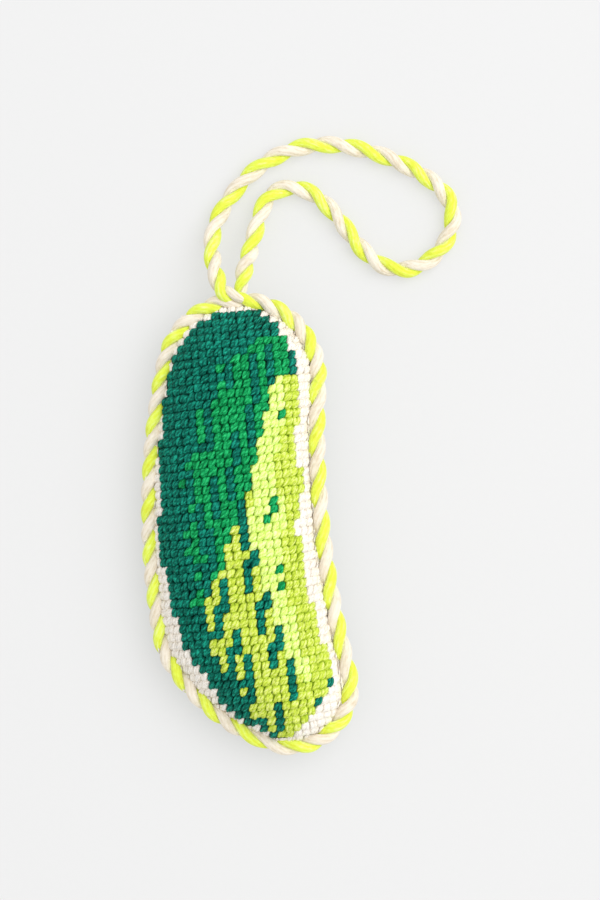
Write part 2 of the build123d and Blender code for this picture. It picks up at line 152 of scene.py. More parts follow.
def arcs(inset, share):
    """Centres, radii, start angles and turns of the outline's six arcs, for each share out from the spine.

    Three round ends shrink with the share, and the long arcs that touch them are drawn in by as much.
    """
    drawn = inset + (1 - share) * (TOP_R - inset)
    top_r, heel_r, toe_r = [share * (r - inset) for r in (TOP_R, HEEL_R, TOE_R)]
    flank_r, sole_r, hollow_r = FLANK_R - drawn, SOLE_R - drawn, HOLLOW_R + drawn
    flank = joining_centre(TOP, flank_r - top_r, HEEL, flank_r - heel_r, 1)
    sole = joining_centre(HEEL, sole_r - heel_r, TOE, sole_r - toe_r, 1)
    hollow = joining_centre(TOE, hollow_r + toe_r, TOP, hollow_r + top_r, -1)
    top, heel, toe = [point + 0 * flank for point in (TOP, HEEL, TOE)]
    centres = np.stack([top, flank, heel, sole, toe, hollow])
    radii = np.stack([top_r, flank_r, heel_r, sole_r, toe_r, hollow_r])
    first = np.stack([hollow - top, top - flank, heel - flank, heel - sole, toe - sole, toe - hollow])
    last = np.stack([top - flank, heel - flank, heel - sole, toe - sole, hollow - toe, top - hollow])
    start, end = [np.arctan2(way[..., 1], way[..., 0]) for way in (first, last)]
    turn = (end - start) % (2 * np.pi)
    turn[5] = -((start[5] - end[5]) % (2 * np.pi))
    return centres, radii, start, turn


def depth_inside(xy, share):
    """Distance in from the outline of that share: the least over the arcs whose sector holds the point."""
    centres, radii, start, turn = arcs(0, share)
    away = xy - centres
    bend = np.where(np.arange(6) < 5, 1.0, -1.0)[:, None]
    swept = (bend * (np.arctan2(away[..., 1], away[..., 0]) - start)) % (2 * np.pi)
    depth = bend * (radii - np.hypot(away[..., 0], away[..., 1]))
    return np.where(swept <= np.abs(turn), depth, np.inf).min(0)


def share_at(xy):
    """Share of the way out to the seam, found by steps of each point's depth over a usual half width."""
    share = np.full(len(xy), 0.5)
    for step in range(SHARE_STEPS):
        depth = depth_inside(xy, share)
        depth = np.where(np.isfinite(depth), depth, UNPLACED_DEPTH)
        share = np.clip(share - depth / USUAL_HALF_WIDTH, 0, FURTHEST_SHARE)
    return share


def rounded(share, rise):
    """Height over the seam of the stuffed form: a round curve that leaves the seam at the edge angle."""
    bow = np.sqrt(1 - (np.sin(EDGE_ANGLE) * np.minimum(share, 1.0)) ** 2) - np.cos(EDGE_ANGLE)
    crown = np.sqrt(1 - (np.sin(EDGE_ANGLE) * RIDGE_SHARE) ** 2) - np.cos(EDGE_ANGLE)
    return rise * bow / crown


def front_point(xy):
    """Points of the stitched front over places in plan."""
    return np.column_stack([xy, SEAM_HEIGHT + rounded(share_at(xy), FRONT_RISE)])


def read_line(line, height):
    """Across position of a boundary line, straight between its points, at many heights."""
    points = np.array(line[::-1], float)
    return np.interp(height, points[:, 0], points[:, 1])


# Lines that bound the chart's areas, as (height, across) from the centre of the top end
CHART_RIDGE = [(40, 0), (0, 0), (-12, -1), (-28, -1.5), (-45, -0.7), (-57, 1.5), (-72, 7.5), (-130, 25)]
FIGURE_LEFT = [
    (16, -1), (13, -9.5), (6, -15), (-7, -18), (-24, -19), (-43, -18), (-61, -13.5), (-78, -2), (-83, 7),
]
FIGURE_RIGHT = [
    (16, 4.5), (12, 9), (5, 13), (-2, 14.5), (-15, 13),
    (-24, 15), (-34, 13.5), (-52, 17), (-70, 22.5), (-83, 12),
]
SHADOW_EDGE = [
    (16, 20), (10, 20), (9, 5), (3, -3), (-7, -7.5), (-24, -12.5), (-43, -10.5), (-61, -6.5), (-83, 8),
]
MIDDLE_EDGE = [
    (16, 20), (1, 20), (0, 9), (-7, 6.5), (-23, 3.5), (-34, -1), (-43, -3.5), (-54, -10), (-83, -10),
]
LIGHT_LEFT = [(0, 8.5), (-7, 6.5), (-22, 3.5), (-34, 2.5), (-43, 4.5), (-61, 10.5), (-70, 15)]
LIGHT_RIGHT = [(0, 11), (-6, 11.5), (-21, 8), (-29, 10.5), (-46, 10.5), (-61, 14.5), (-70, 17)]
RAGGED = 1.1
RAGGED_WAVES = (2.3, 0.9)
CHART_SPAN = 80.0
REACH = int(np.ceil(CHART_SPAN / STITCH))
CREAM, TEAL, GREEN, LIME, CHARTREUSE = range(5)


def grid_place(column, row):
    """Plan place of a grid corner: turned by the canvas's tilt, then drawn in as a sine towards the edge."""
    x = STITCH * (column * np.cos(TILT) - row * np.sin(TILT))
    y = STITCH * (column * np.sin(TILT) + row * np.cos(TILT))
    level = np.clip(y, TOE[1], TOP[1])
    y = level + DRAPE_RADIUS * np.sin((y - level) / DRAPE_RADIUS)
    ridge = TOP[0] + read_line(CHART_RIDGE, y - TOP[1])
    side = np.clip((x - ridge) / DRAPE_RADIUS, -np.pi / 2, np.pi / 2)
    return np.stack([ridge + DRAPE_RADIUS * np.sin(side), y], -1)


def between(left, right, across, height):
    """Whether places lie between two boundary lines, and no further up or down than the lines go."""
    inside = (read_line(left, height) < across) & (across < read_line(right, height))
    return inside & (height <= left[0][0]) & (height >= left[-1][0])


numbers = np.arange(-REACH, REACH)
column, row = [cell.ravel() for cell in np.meshgrid(numbers, numbers, indexing="ij")]
middle = grid_place(column + 0.5, row + 0.5)
across, height = (middle - TOP).T
shade = np.where(across < read_line(MIDDLE_EDGE, height), GREEN, CHARTREUSE)
shade = np.where(between(LIGHT_LEFT, LIGHT_RIGHT, across, height), LIME, shade)
ragged = RAGGED * sum(np.sin(wave * row) for wave in RAGGED_WAVES)
shade = np.where(across < read_line(SHADOW_EDGE, height) + ragged, TEAL, shade)
in_figure = between(FIGURE_LEFT, FIGURE_RIGHT, across, height)
chart = np.where(in_figure, shade, CREAM).reshape(2 * REACH, 2 * REACH)

# Dark dashes run down beside the shadow in lanes, longer and further apart up the pickle
DASH_LANES = 6
LANE_STEP = 2.5
LANE_DASHES = 9
DASH_STEP = 3.5
DASH_SPREAD = 0.2
DASH_LENGTH = 1.4
DASH_GROWTH = 6
shadow_end = np.where((chart == TEAL).any(0), 2 * REACH - 1 - (chart[::-1] == TEAL).argmax(0), -1)
light_start = np.where((chart == LIME).any(0), (chart == LIME).argmax(0), 10 * REACH)
shaded = np.flatnonzero(shadow_end >= 0) - REACH
for lane in range(DASH_LANES):
    for dash in range(LANE_DASHES):
        first = shaded[0] + 1 - 2 * lane % 4 + round(DASH_STEP * dash + DASH_SPREAD * dash**2)
        up = (first - shaded[0]) / (shaded[-1] - shaded[0])
        length = round(DASH_LENGTH + DASH_GROWTH * min(up, 0.5)) + (dash + lane) % 2 + dash % 3 // 2
        edge = shadow_end[first + length // 2 + REACH]
        if edge < 0:
            continue
        lane_column = edge + 2 + int(LANE_STEP * lane)
        rows = np.arange(first, first + length) + REACH
        lighter = np.isin(chart[lane_column, rows], (GREEN, CHARTREUSE))
        rows = rows[lighter & (lane_column < light_start[rows])]
        chart[lane_column, rows] = TEAL

# Green flecks zigzag in the highlight, in a run of rows out of every few
FLECK_ROWS = 9
FLECK_RUN = 4
fleck_rows = np.flatnonzero((light_start < 2 * REACH) & (numbers % FLECK_ROWS < FLECK_RUN))
fleck_columns = light_start[fleck_rows] + 2 + (fleck_rows - REACH) % 2
lit = chart[fleck_columns, fleck_rows] == LIME
chart[fleck_columns[lit], fleck_rows[lit]] = GREEN

# One stitch is two strands side by side in the row. Along each, from hole to hole, places are in cells, and
# heights and half depths are millimetres from the front's surface. Spreads are from one stitch to another.
ALONG = np.array([-0.57, -0.36, 0.0, 0.36, 0.57])
SLANT = 0.34
HALF_WIDTH = np.array([0.23, 0.29, 0.31, 0.29, 0.23])
RIDE = np.array([-0.76, -0.42, -0.30, -0.42, -0.76])
HALF_DEPTH = np.array([0.36, 0.48, 0.54, 0.48, 0.36])
STRAND_APART = np.array([0.14, 0.18, 0.19, 0.18, 0.14])
# Crest: share of painted highlight along a strand, falling to painted shade towards the holes
CREST = np.array([0.45, 0.88, 1.0, 0.88, 0.45])
WIDTH_SPREAD = 0.1
SLANT_SPREAD = 0.15
PLACE_SPREAD = 0.05
LIFT_SPREAD = 0.09
END_SINK = 0.4
BED_DEPTH = 0.9
NORMAL_STEP = 0.05
AROUND = np.radians(np.arange(-90, 270, 45))
# The UV goes once round and once along a strand of this size; its slanting tufts are coarser than real ones
STRAND_ROUND = 2.8
STRAND_LENGTH = 2.0
TUFT_WIDTH = 0.4
TUFT_LENGTH = 1.0
FIBRE_LEAN = np.radians(35)
draw = np.random.default_rng(7)


def closed_strands(rings, start, end):
    """Vertices and faces of closed strands: rings joined along by quads, with a fan to a pole at each end."""
    count, along, around = rings.shape[:3]
    ring = np.arange(around)
    after = (ring + 1) % around
    sides = np.stack([ring, after, after + around, ring + around], -1)
    sides = (sides + around * np.arange(along - 1)[:, None, None]).reshape(-1, 4)
    far = around * (along - 1)
    fans = np.concatenate([np.stack([after, ring, 0 * ring + far + around], -1),
                           np.stack([ring + far, after + far, 0 * ring + far + around + 1], -1)])
    vertices = np.concatenate([rings.reshape(count, -1, 3), start[:, None], end[:, None]], 1)
    base = vertices.shape[1] * np.arange(count)[:, None, None]
    faces = (sides + base).reshape(-1, 4).tolist() + (fans + base).reshape(-1, 3).tolist()
    return vertices.reshape(-1, 3), faces


def make_piece(name, vertices, faces, finishes, uv=None, finish_index=None, **values):
    """Smooth mesh object from millimetres, with a UV and named values for each vertex."""
    mesh = bpy.data.meshes.new(name)
    mesh.from_pydata((vertices * 0.001).tolist(), [], faces)
    for finish in finishes:
        mesh.materials.append(finish)
    mesh.polygons.foreach_set("use_smooth", np.ones(len(faces), bool))
    if finish_index is not None:
        mesh.polygons.foreach_set("material_index", finish_index)
    if uv is not None:
        corner = np.zeros(len(mesh.loops), np.int32)
        mesh.loops.foreach_get("vertex_index", corner)
        mesh.uv_layers.new(name="UVMap").data.foreach_set("uv", uv[corner].ravel())
    for label, value in values.items():
        mesh.attributes.new(label, "FLOAT", "POINT").data.foreach_set("value", value.astype(np.float32))
    made = bpy.data.objects.new(name, mesh)
    bpy.context.scene.collection.objects.link(made)
    return made


def wool_finish(name, dark, body, light):
    """Stranded needlepoint wool: matt fibres, painted shade where it sinks in the holes, painted highlight on
    top.
    """
    made, tree = blank_finish(name)
    uv = add(tree, "TexCoord", {}).outputs["UV"]
    rise = add(tree, "Attribute", {}, attribute_name="rise").outputs["Fac"]
    tone = add(tree, "Attribute", {}, attribute_name="tone").outputs["Fac"]
    slanted = add(tree, "Mapping", {
        "Vector": uv, "Scale": (STRAND_ROUND, STRAND_LENGTH, 1), "Rotation": (0, 0, -FIBRE_LEAN)}).outputs[0]
    stretched = add(tree, "Mapping", {
        "Vector": slanted, "Scale": (1 / TUFT_WIDTH, 1 / TUFT_LENGTH, 1)}).outputs[0]
    tufts = {"Vector": stretched, "Scale": 1.0, "Detail": 2.0, "Roughness": 0.6}
    fibre = add(tree, "TexNoise", tufts).outputs["Fac"]
    relief = add(tree, "MapRange", {"Value": fibre, "From Min": 0.34, "From Max": 0.66}).outputs[0]
    # Tone of a place: how far it rides up, for the painted shade and highlight, the strand's own tone, and
    # its fibres
    lifted = add(tree, "Math", {0: relief, 1: 1.0, 2: rise}, operation="MULTIPLY_ADD").outputs[0]
    toned = add(tree, "Math", {0: tone, 1: 0.1, 2: lifted}, operation="MULTIPLY_ADD").outputs[0]
    deep = add(tree, "MapRange", {"Value": toned, "From Min": 0.45, "From Max": 1.3}).outputs[0]
    high = add(tree, "MapRange", {"Value": toned, "From Min": 1.3, "From Max": 1.95}).outputs[0]
    # Painted shade colour low on each strand, in the holes and on the bed; painted highlight colour on its
    # top and fibre peaks
    colour = tinted(tree, deep, dark, body)
    colour = tinted(tree, high, colour, light)
    bump = add(tree, "Bump", {"Height": relief, "Strength": 0.8, "Distance": 0.0003}).outputs[0]
    surface(tree, {
        "Base Color": colour, "Normal": bump, "Roughness": 0.65, "IOR": 1.54, "Specular IOR Level": 0.08})
    return made


def stitch_front(name, cells, finish):
    """One yarn's stitches: each point's grid place is its cell's middle plus steps along the slant and row.

    It is lifted on the rounded front, then out along the front's own normal by the strand's round section.
    """
    count = len(cells)
    slack, lift, lean, tone = draw.standard_normal((4, count, 2, 1, 1))
    side = np.array([-1.0, 1.0])[:, None, None]
    across = side * STRAND_APART[:, None] + (1 + WIDTH_SPREAD * slack) * HALF_WIDTH[:, None] * np.cos(AROUND)
    across = across + (SLANT + SLANT_SPREAD * lean) * ALONG[:, None]
    along = ALONG[:, None] + PLACE_SPREAD * slack + 0 * across
    out = LIFT_SPREAD * lift + RIDE[:, None] + HALF_DEPTH[:, None] * np.sin(AROUND) + 0 * across
    middles = cells + 0.5
    column, row = middles.T[:, :, None, None, None]
    flat = grid_place(column + across, row + along)
    centre = grid_place(*middles.T)
    shifts = ((0, 0), (NORMAL_STEP, 0), (0, NORMAL_STEP))
    base, east, north = [front_point(centre + shift)[:, 2] for shift in shifts]
    fall = np.column_stack([base - east, base - north]) / NORMAL_STEP
    normal = unit(np.column_stack([fall, np.ones(count)]))
    laid = front_point(flat.reshape(-1, 2)).reshape(*flat.shape[:-1], 3)
    rings = laid + out[..., None] * normal[:, None, None, None]
    rings = rings.reshape(2 * count, len(ALONG), len(AROUND), 3)
    ends = [rings[:, end].mean(1) - END_SINK * np.repeat(normal, 2, 0) for end in (0, -1)]
    vertices, faces = closed_strands(rings, *ends)
    strand_points = len(vertices) // (2 * count)
    # Rise from nought under and at the ends of a strand to one on its top: painted shade low, painted
    # highlight high
    crest = (0.5 + 0.5 * np.sin(AROUND)) * CREST[:, None]
    rise = np.tile(np.append(crest.ravel(), [0.0, 0.0]), 2 * count)
    tones = np.repeat(tone.ravel(), strand_points)
    around_uv = np.tile(np.arange(len(AROUND)) / len(AROUND), len(ALONG))
    along_uv = np.repeat(0.5 + ALONG, len(AROUND))
    uv = np.column_stack([np.append(around_uv, [0.5, 0.5]), np.append(along_uv, [0, 1])])
    uv = np.tile(uv, (2 * count, 1)) + np.repeat(draw.random((2 * count, 2)), strand_points, 0)
    # The bed of yarn that closes the holes, one quad a cell, shared along the cells' edges
    corners = (cells[:, None] + np.array([[0, 0], [1, 0], [1, 1], [0, 1]])).reshape(-1, 2)
    corners, index = np.unique(corners, axis=0, return_inverse=True)
    # With no rise, the bed takes the painted shade colour of the holes
    bed = front_point(grid_place(*corners.T)) - np.array((0, 0, BED_DEPTH))
    faces += (index.reshape(-1, 4) + len(vertices)).tolist()
    vertices = np.concatenate([vertices, bed])
    rise, tones = [np.append(value, np.zeros(len(bed))) for value in (rise, tones)]
    uv = np.concatenate([uv, corners * 0.3])
    return make_piece(name, vertices, faces, [finish], uv, rise=rise, tone=tones)


SEWN_SHARE = 1.12
SEWN_REACH = 70.0
cells = np.column_stack([column, row])
near = np.abs(STITCH * (column * np.sin(TILT) + row * np.cos(TILT))) < SEWN_REACH
cells = cells[near & (share_at(middle) < SEWN_SHARE)]
yarn_of = chart[cells[:, 0] + REACH, cells[:, 1] + REACH]
# Each yarn: chart number, painted shade colour, its own colour, and a light colour for fibres and painted
# highlight
YARNS = {
    "cream": (CREAM, "#efe6d8", "#fcf5ea", "#fffcf6"),
    "dark_teal": (TEAL, "#012a23", "#066958", "#1cab8e"),
    "mid_green": (GREEN, "#034526", "#099652", "#30cc7a"),
    "lime": (LIME, "#c8e858", "#e6fd88", "#f8ffbe"),
    "chartreuse": (CHARTREUSE, "#94b41e", "#cfe34c", "#f0f69c"),
}
for colour_name, (number, *colours) in YARNS.items():
    wool = wool_finish(f"{colour_name}_wool", *colours)
    stitches = stitch_front(f"{colour_name}_stitches", cells[yarn_of == number], wool)
    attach(stitches, "cushion")
    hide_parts(f"{colour_name}_yarn")

# Backing
# A plain velvet panel cut to the same outline, sewn to the canvas face to face and turned out, so that it
# swells with the filling, puckers a little at the seam and is pressed flat where the ornament lies.
BACK_RISE = 9.5
ARC_STEPS = (70, 48, 32, 24, 56, 60)
VELVET_RINGS = 31
VELVET_THICKNESS = 0.6
PUCKER_LENGTH = 5.1
PUCKER_DEPTH = 0.22
PUCKER_FADE = 5
SLOW_WAVES = 9
RIM_TUCK = 1.2
RIM_FADE = 12


def outline_rings(inset, shares):
    """Outlines of many shares as rows of matching points: each of the six arcs is divided evenly by angle."""
    centres, radii, start, turn = arcs(inset, shares)
    spans = []
    for arc, steps in enumerate(ARC_STEPS):
        angle = start[arc][:, None] + turn[arc][:, None] * np.arange(steps) / steps
        round_it = np.stack([np.cos(angle), np.sin(angle)], -1)
        spans.append(centres[arc][:, None] + radii[arc][:, None, None] * round_it)
    return np.concatenate(spans, 1)


# Cotton velvet: short upright pile, dark face on and pale at its edges, with painted sheen and shade in
# brushed patches
cotton_velvet, tree = blank_finish("cotton_velvet")
place = add(tree, "TexCoord", {}).outputs["Object"]
pile = add(tree, "TexNoise", {"Vector": place, "Scale": 1 / 0.0004, "Detail": 2.0}).outputs["Fac"]
brushed = add(tree, "TexNoise", {"Vector": place, "Scale": 1 / 0.012, "Detail": 3.0}).outputs["Fac"]
nap = add(tree, "Math", {0: pile, 1: 0.35, 2: brushed}, operation="MULTIPLY_ADD").outputs[0]
lie = add(tree, "MapRange", {"Value": nap, "From Min": 0.4, "From Max": 0.95}).outputs[0]
# Painted sheen and shade: lighter and darker patches where the pile is brushed, over its fine texture
tint = tinted(tree, lie, "#123d2a", "#2c7350")
bump = add(tree, "Bump", {"Height": nap, "Strength": 0.6, "Distance": 0.0003}).outputs[0]
surface(tree, {
    "Base Color": tint, "Normal": bump, "Roughness": 0.85, "IOR": 1.5, "Specular IOR Level": 0.2,
    "Sheen Weight": 0.8, "Sheen Roughness": 0.35, "Sheen Tint": linear("#9fd3b4")})

shares = np.cos(np.pi / 2 * np.arange(VELVET_RINGS) / (VELVET_RINGS + 1))
back_rings = outline_rings(0.0, shares)
step = np.linalg.norm(np.diff(back_rings[0], axis=0, append=back_rings[0][:1]), axis=1)
distance = np.cumsum(step)
puckers = round(distance[-1] / PUCKER_LENGTH)
lap = 2 * np.pi * distance / distance[-1]
ripple = np.cos(puckers * lap) + 0.5 * np.cos(SLOW_WAVES * lap + 1)
ring_share = shares[:, None]
gathered = np.exp(PUCKER_FADE * (ring_share - 1)) * np.sin(np.pi * ring_share)
drop = rounded(ring_share, BACK_RISE) + PUCKER_DEPTH * ripple * gathered
# Its rim is turned in under the stitched front
rim = RIM_TUCK * np.exp(RIM_FADE * (ring_share - 1))
velvet_z = np.maximum(SEAM_HEIGHT - drop - rim, 0.0)
rows, count = velvet_z.shape
points = np.concatenate([back_rings, velvet_z[..., None]], -1).reshape(-1, 3)
ring = np.arange(count)
after = (ring + 1) % count
quads = np.stack([ring, ring + count, after + count, after], -1) + count * np.arange(rows - 1)[:, None, None]
faces = quads.reshape(-1, 4).tolist() + [(ring[::-1] + count * (rows - 1)).tolist()]
velvet_piece = make_piece("velvet_backing", points, faces, [cotton_velvet])
thickness = velvet_piece.modifiers.new("cloth", "SOLIDIFY")
thickness.thickness = VELVET_THICKNESS * 0.001
thickness.offset = -1
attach(velvet_piece, "cushion")
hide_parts("velvet_back")

# Machine seam
# Cotton thread that joins the two panels through their turned edges, hidden inside once the ornament is
# turned out. Mercerised cotton: a smooth, slightly shining twist.
sewing_cotton, tree = blank_finish("mercerised_cotton")
place = add(tree, "TexCoord", {}).outputs["Object"]
bands = {"Vector": place, "Scale": ONE_BAND / 0.0004, "Distortion": 1.0}
twist = add(tree, "TexWave", bands, bands_direction="DIAGONAL").outputs["Fac"]
# Paler on each turn of the twist and darker between: painted highlight and painted shade
tint = tinted(tree, twist, "#cfc5ae", "#f4eddc")
bump = add(tree, "Bump", {"Height": twist, "Strength": 0.4, "Distance": 0.0001}).outputs[0]
surface(tree, {"Base Color": tint, "Normal": bump, "Roughness": 0.5, "IOR": 1.53})
dress("seam_thread", sewing_cotton)

# Filling
# Loose polyester fibre pushed in through the gap in the seam until both panels are tight. Crimped white
# fibre: soft, matt and bright, with shallow tufts.
polyester_fibre, tree = blank_finish("polyester_fibre")
place = add(tree, "TexCoord", {}).outputs["Object"]
crimped = {"Vector": place, "Scale": 1 / 0.004, "Detail": 6.0, "Roughness": 0.7}
tufts = add(tree, "TexNoise", crimped).outputs["Fac"]
# Greyer where the tufts sink: painted shade
tint = tinted(tree, tufts, "#dcdad2", "#fbfaf6")
bump = add(tree, "Bump", {"Height": tufts, "Strength": 1.0, "Distance": 0.001}).outputs[0]
surface(tree, {"Base Color": tint, "Normal": bump, "Roughness": 0.95, "IOR": 1.5, "Sheen Weight": 0.4})
dress("fibre_filling", polyester_fibre)

# Edge cord
# Two plies of soft yarn, neon yellow and cream, twisted to the right and laid round the seam. Each ply is
# spun the other way, so its yarns slant less than the plies do.
EDGE_LINE = 1.65
TUCK_IN = 0.7
TUCK_DOWN = 0.6
PLY_OUT = 1.12
PLY_ACROSS = 1.29
PLY_OFFSET = 0.97
PLY_LOBES = 7
LOBE_DEPTH = 0.03
PLY_SIDES = 36
PLY_AROUND = 2 * np.pi * np.arange(PLY_SIDES) / PLY_SIDES + np.pi
YARN_TURN = 0.6
UP = np.array((0.0, 0.0, 1.0))


def along_outline(inset, distance):
    """Points and outward directions at distances along the outline, arc by arc, and its length."""
    centres, radii, start, turn = [value[:, 0] for value in arcs(inset, np.ones(1))]
    lengths = radii * np.abs(turn)
    ends = np.cumsum(lengths)
    arc = np.searchsorted(ends, distance % ends[-1], side="right").clip(0, 5)
    angle = start[arc] + (distance % ends[-1] - (ends - lengths)[arc]) / radii[arc] * np.sign(turn[arc])
    round_it = np.stack([np.cos(angle), np.sin(angle)], -1)
    return centres[arc] + radii[arc, None] * round_it, round_it * np.sign(turn[arc])[:, None], ends[-1]


def edge_centre(distance):
    """Cord's line and outward directions: off the seam by a set amount, then drawn in and down at the flank.

    The cushion bulges over the cord there.
    """
    flat, out, _ = along_outline(-EDGE_LINE, distance)
    tuck = 0.5 - 0.5 * out[:, 0]
    return np.column_stack([flat - TUCK_IN * tuck[:, None] * out, SEAM_HEIGHT - TUCK_DOWN * tuck]), out


def yarn_turns(phase):
    """Angle of each point of a ply among its yarns, which turn back by a share of the cord's phase."""
    return PLY_AROUND + YARN_TURN * phase[:, None]


def yarn_lobes(phase):
    """Root of a cosine round the ply: 1 on the back of each yarn and 0 in the grooves between them."""
    return np.sqrt(0.5 + 0.5 * np.cos(PLY_LOBES * yarn_turns(phase)))


def twisted_plies(centre, phase):
    """Two plies as rings of points: each winds round the cord's line by the phase, half a turn apart.

    Its section is an ellipse square to its own run, pressed against the other ply, with lobes for its yarns.
    """
    run = unit(np.gradient(centre, axis=0))
    up = unit(UP - (UP * run).sum(-1, keepdims=True) * run)
    side = np.cross(run, up)
    turn = phase + np.array([[0.0], [np.pi]])
    out = np.cos(turn)[..., None] * up + np.sin(turn)[..., None] * side
    line = centre + PLY_OFFSET * out
    own_run = unit(np.gradient(line, axis=1))
    out = unit(out - (out * own_run).sum(-1, keepdims=True) * own_run)
    beside = np.cross(own_run, out)
    full = (1 - LOBE_DEPTH + LOBE_DEPTH * yarn_lobes(phase))[..., None]
    section = PLY_OUT * np.cos(PLY_AROUND)[:, None] * out[:, :, None]
    section = section + PLY_ACROSS * np.sin(PLY_AROUND)[:, None] * beside[:, :, None]
    return line[:, :, None] + full * section, line


def cord_finish(name, deep, body, light):
    """Soft spun cord yarn: matt, bright and fibrous, painted shade between its yarns, painted highlight on
    them.
    """
    made, tree = blank_finish(name)
    uv = add(tree, "TexCoord", {}).outputs["UV"]
    drawn_out = add(tree, "Mapping", {"Vector": uv, "Scale": (16, 0.8, 1)}).outputs[0]
    fibres = {"Vector": drawn_out, "Scale": 1.0, "Detail": 4.0, "Roughness": 0.6}
    fibre = add(tree, "TexNoise", fibres).outputs["Fac"]
    patchy = add(tree, "Mapping", {"Vector": uv, "Scale": (1.5, 0.25, 1)}).outputs[0]
    patch = add(tree, "TexNoise", {"Vector": patchy, "Scale": 1.0, "Detail": 2.0}).outputs["Fac"]
    # The groove value paints shade between the yarns and a highlight on their backs, over fibres and random
    # patches
    groove = add(tree, "Attribute", {}, attribute_name="groove").outputs["Fac"]
    ridge = add(tree, "Math", {0: groove, 1: 0.22, 2: fibre}, operation="MULTIPLY_ADD").outputs[0]
    toned = add(tree, "Math", {0: patch, 1: 0.6, 2: ridge}, operation="MULTIPLY_ADD").outputs[0]
    low = add(tree, "MapRange", {"Value": toned, "From Min": 0.5, "From Max": 0.95}).outputs[0]
    high = add(tree, "MapRange", {"Value": toned, "From Min": 0.95, "From Max": 1.35}).outputs[0]
    colour = tinted(tree, low, deep, body)
    colour = tinted(tree, high, colour, light)
    bump = add(tree, "Bump", {"Height": ridge, "Strength": 0.5, "Distance": 0.0003}).outputs[0]
    surface(tree, {
        "Base Color": colour, "Normal": bump, "Roughness": 0.8, "IOR": 1.5, "Specular IOR Level": 0.15,
        "Sheen Weight": 0.35, "Sheen Roughness": 0.5})
    return made


# Each cord yarn: painted shade colour for its grooves, its own colour, and a light colour for fibres and
# painted highlight
neon_yarn = cord_finish("neon_yellow_cord_yarn", "#cdc62a", "#dff04e", "#f0fba8")
pale_yarn = cord_finish("cream_cord_yarn", "#cbb894", "#e9dfcc", "#f5eee2")


def ply_values(phase, length):
    """UV (round the ply, millimetres along it) and depth between the yarns, for painted shade, at each point
    of both plies.
    """
    along = np.linspace(0, length, len(phase))
    uv = np.stack(np.broadcast_arrays(yarn_turns(phase) / (2 * np.pi), along[:, None]), -1)
    return np.tile(uv.reshape(-1, 2), (2, 1)), np.tile(yarn_lobes(phase).ravel(), 2)


EDGE_STEPS = 760
EDGE_TURNS = 24
edge_length = along_outline(-EDGE_LINE, np.zeros(1))[2]
edge_distance = edge_length * np.arange(EDGE_STEPS) / EDGE_STEPS
edge_line, _ = edge_centre(edge_distance)
# Turns of the twist by millimetres along the line: about 10 mm each on the flank and 12 mm on the hollow side
EDGE_TWIST = np.array([
    (0, 0), (18, 2), (118, 12), (150, 15), (164, 16), (184, 18), (edge_length, EDGE_TURNS),
])
edge_phase = 2 * np.pi * np.interp(edge_distance, *EDGE_TWIST.T)
# A few stations are carried past the join, so that the plies run evenly over it
LAPPED = 3
whole_twist = 2 * np.pi * EDGE_TURNS
lapped_line = np.concatenate([edge_line[-LAPPED:], edge_line, edge_line[:LAPPED]])
lapped_phase = np.concatenate([
    edge_phase[-LAPPED:] - whole_twist, edge_phase, edge_phase[:LAPPED] + whole_twist])
edge_rings = twisted_plies(lapped_line, lapped_phase)[0][:, LAPPED:-LAPPED]
ring = np.arange(PLY_SIDES)
after = (ring + 1) % PLY_SIDES
station = PLY_SIDES * np.arange(EDGE_STEPS)[:, None]
beyond = PLY_SIDES * ((np.arange(EDGE_STEPS) + 1) % EDGE_STEPS)[:, None]
tube = np.stack([ring + station, after + station, after + beyond, ring + beyond], -1).reshape(-1, 4)
faces = np.concatenate([tube, tube + EDGE_STEPS * PLY_SIDES]).tolist()
ply_of_face = np.repeat((0, 1), len(tube))
uv, groove = ply_values(edge_phase, edge_length)
edge_cord = make_piece("edge_cord_plies", edge_rings.reshape(-1, 3), faces, [neon_yarn, pale_yarn], uv,
                       ply_of_face, groove=groove)
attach(edge_cord, "cushion")
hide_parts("edge_cord")

# Couching
# A cotton thread caught down over the cord once every turn of its twist, pulled into the groove between the
# plies so that it hardly shows, and sewn into the seam behind.
THREAD_RADIUS = 0.2
COUCH_COUNT = 24
COUCH_SUNK = 0.05
WRAP_FROM = np.radians(-80)
WRAP_TO = np.radians(215)
WRAP_POINTS = 28
HANGER_BEARING = np.radians(96)
GROOVE_RADIUS = PLY_ACROSS * np.sqrt(1 - (PLY_OFFSET / PLY_OUT) ** 2)


def sewn_threads(name, path, outward):
    """Round threads along paths, each a circle square to its run, with its ends closed."""
    run = unit(np.gradient(path, axis=1))
    outward = unit(outward - (outward * run).sum(-1, keepdims=True) * run)
    beside = np.cross(run, outward)
    around = np.radians(np.arange(0, 360, 60))[:, None]
    rings = path[:, :, None] + THREAD_RADIUS * (
        np.cos(around) * outward[:, :, None] + np.sin(around) * beside[:, :, None])
    made = make_piece(name, *closed_strands(rings, path[:, 0], path[:, -1]), [sewing_cotton])
    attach(made, "cushion")
    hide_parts(name)


